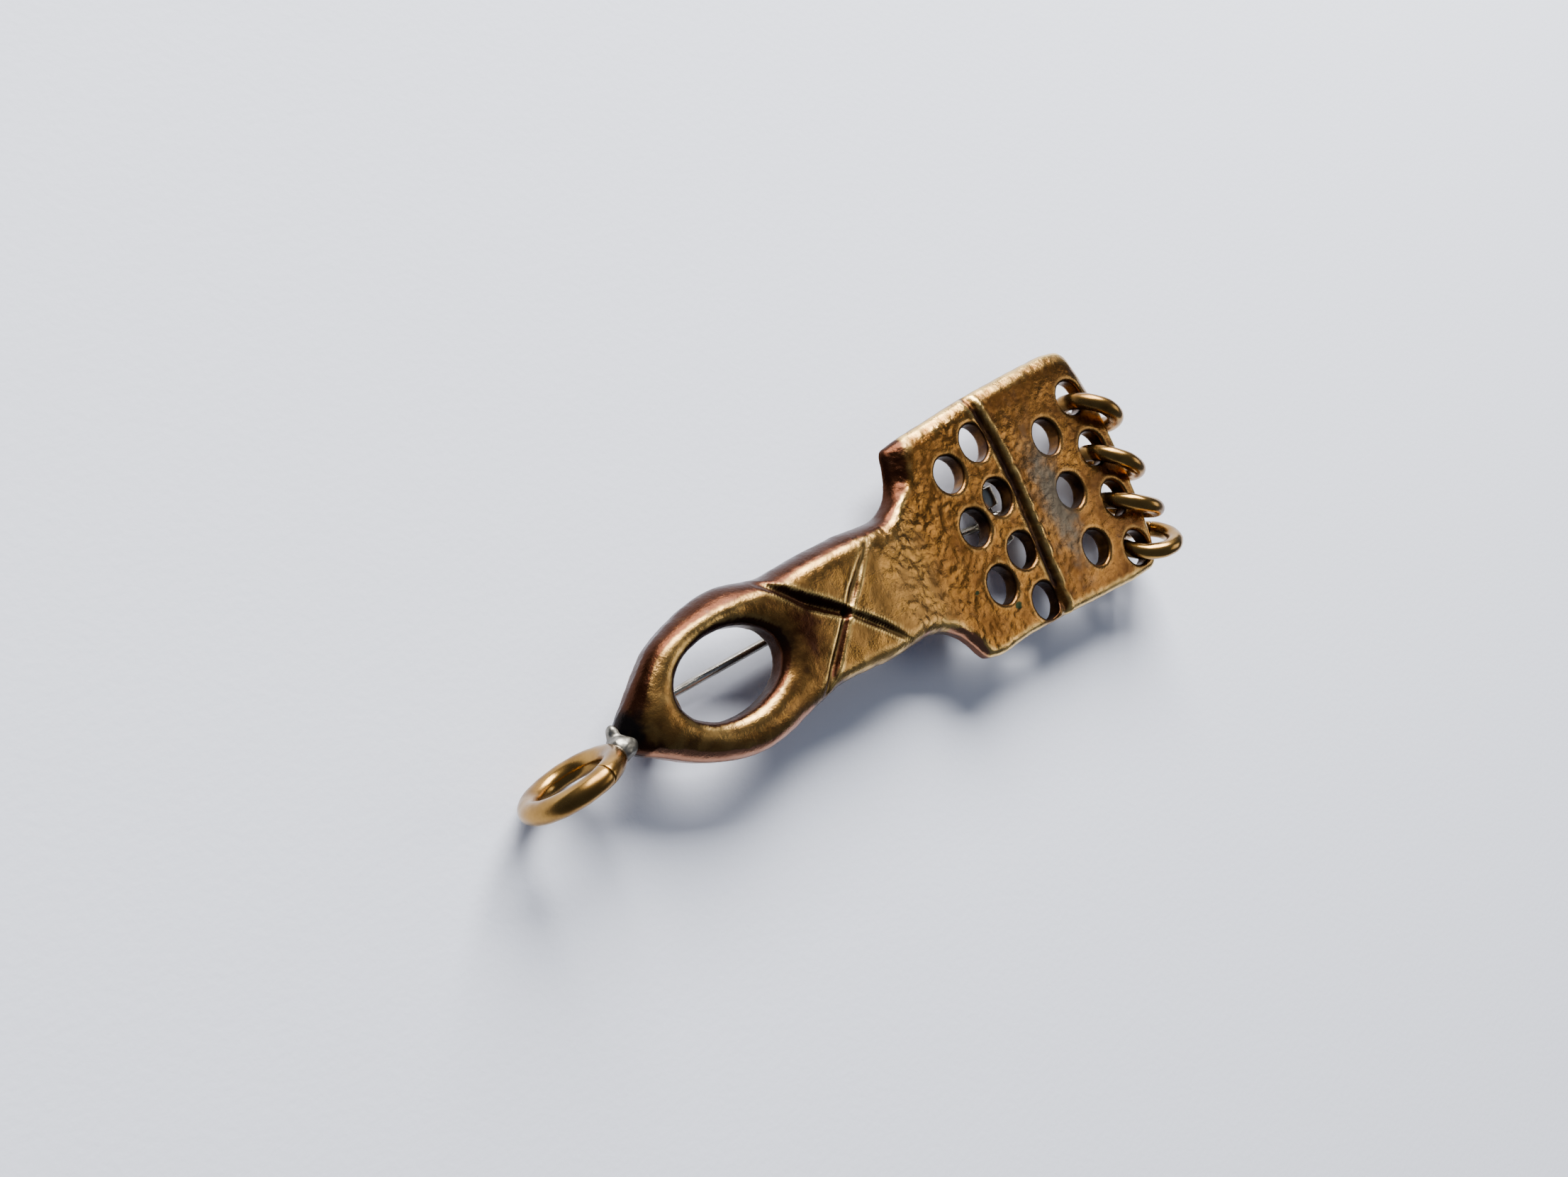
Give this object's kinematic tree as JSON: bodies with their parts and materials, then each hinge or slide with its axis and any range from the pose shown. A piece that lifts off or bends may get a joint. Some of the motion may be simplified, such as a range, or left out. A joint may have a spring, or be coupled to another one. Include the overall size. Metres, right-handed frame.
{
  "type": "chatelaine brooch",
  "caption": "Cast bronze brooch with an almond eye, a crossed knot and a pierced fan; it pins to cloth and chains hang from the rings in its end row.",
  "frame": {"origin": "on the surface the brooch lies on, under the middle of its bounding box", "axes": "+X along the brooch from the hanging ring to the chain rings, +Y to the left of that, +Z out of the decorated face"},
  "size_m": [0.0788, 0.025, 0.0091],
  "materials": {
    "cast_bronze": "cast and tumbled bronze, darkened in the hollows and rubbed bright on the edges",
    "ring_brass": "drawn brass wire, lightly tarnished",
    "catch_bronze": "dark unpolished bronze strip",
    "hinge_nickel": "drawn white-metal tube, dull",
    "pin_steel": "bright spring steel wire",
    "solder": "silvery solder, dulled and stained by heat"
  },
  "bodies": {
    "holder": {"holder_plate": "cast_bronze", "hanging_ring": "ring_brass", "tip_solder": "solder", "hinge_knuckle_left": "hinge_nickel", "hinge_knuckle_right": "hinge_nickel", "hinge_solder": "solder", "hinge_rivet": "pin_steel", "catch": "catch_bronze", "catch_solder": "solder"},
    "pin": {"pin": "pin_steel"},
    "chain_ring_1": {"chain_ring_1": "ring_brass"},
    "chain_ring_2": {"chain_ring_2": "ring_brass"},
    "chain_ring_3": {"chain_ring_3": "ring_brass"},
    "chain_ring_4": {"chain_ring_4": "ring_brass"}
  },
  "joints": [
    {"name": "pin_swing", "type": "hinge", "parent": "holder", "child": "pin", "pos_m": [0.01866, 0.0006, 0.00229], "axis": [0, -1, 0], "range_deg": [0, 150]},
    {"name": "chain_ring_1_lean", "type": "hinge", "parent": "holder", "child": "chain_ring_1", "pos_m": [0.03526, 0.00536, 0.00449], "axis": [0.7431, -0.6691, 0], "range_deg": [-15, 8]},
    {"name": "chain_ring_2_lean", "type": "hinge", "parent": "holder", "child": "chain_ring_2", "pos_m": [0.03529, -0.00028, 0.00449], "axis": [0.7431, -0.6691, 0], "range_deg": [-18, 2]},
    {"name": "chain_ring_3_lean", "type": "hinge", "parent": "holder", "child": "chain_ring_3", "pos_m": [0.03523, -0.00505, 0.00449], "axis": [0.8572, -0.515, 0], "range_deg": [-10, 8]},
    {"name": "chain_ring_4_lean", "type": "hinge", "parent": "holder", "child": "chain_ring_4", "pos_m": [0.0356, -0.0092, 0.00449], "axis": [0.9994, -0.0349, 0], "range_deg": [-38, 1]}
  ]
}
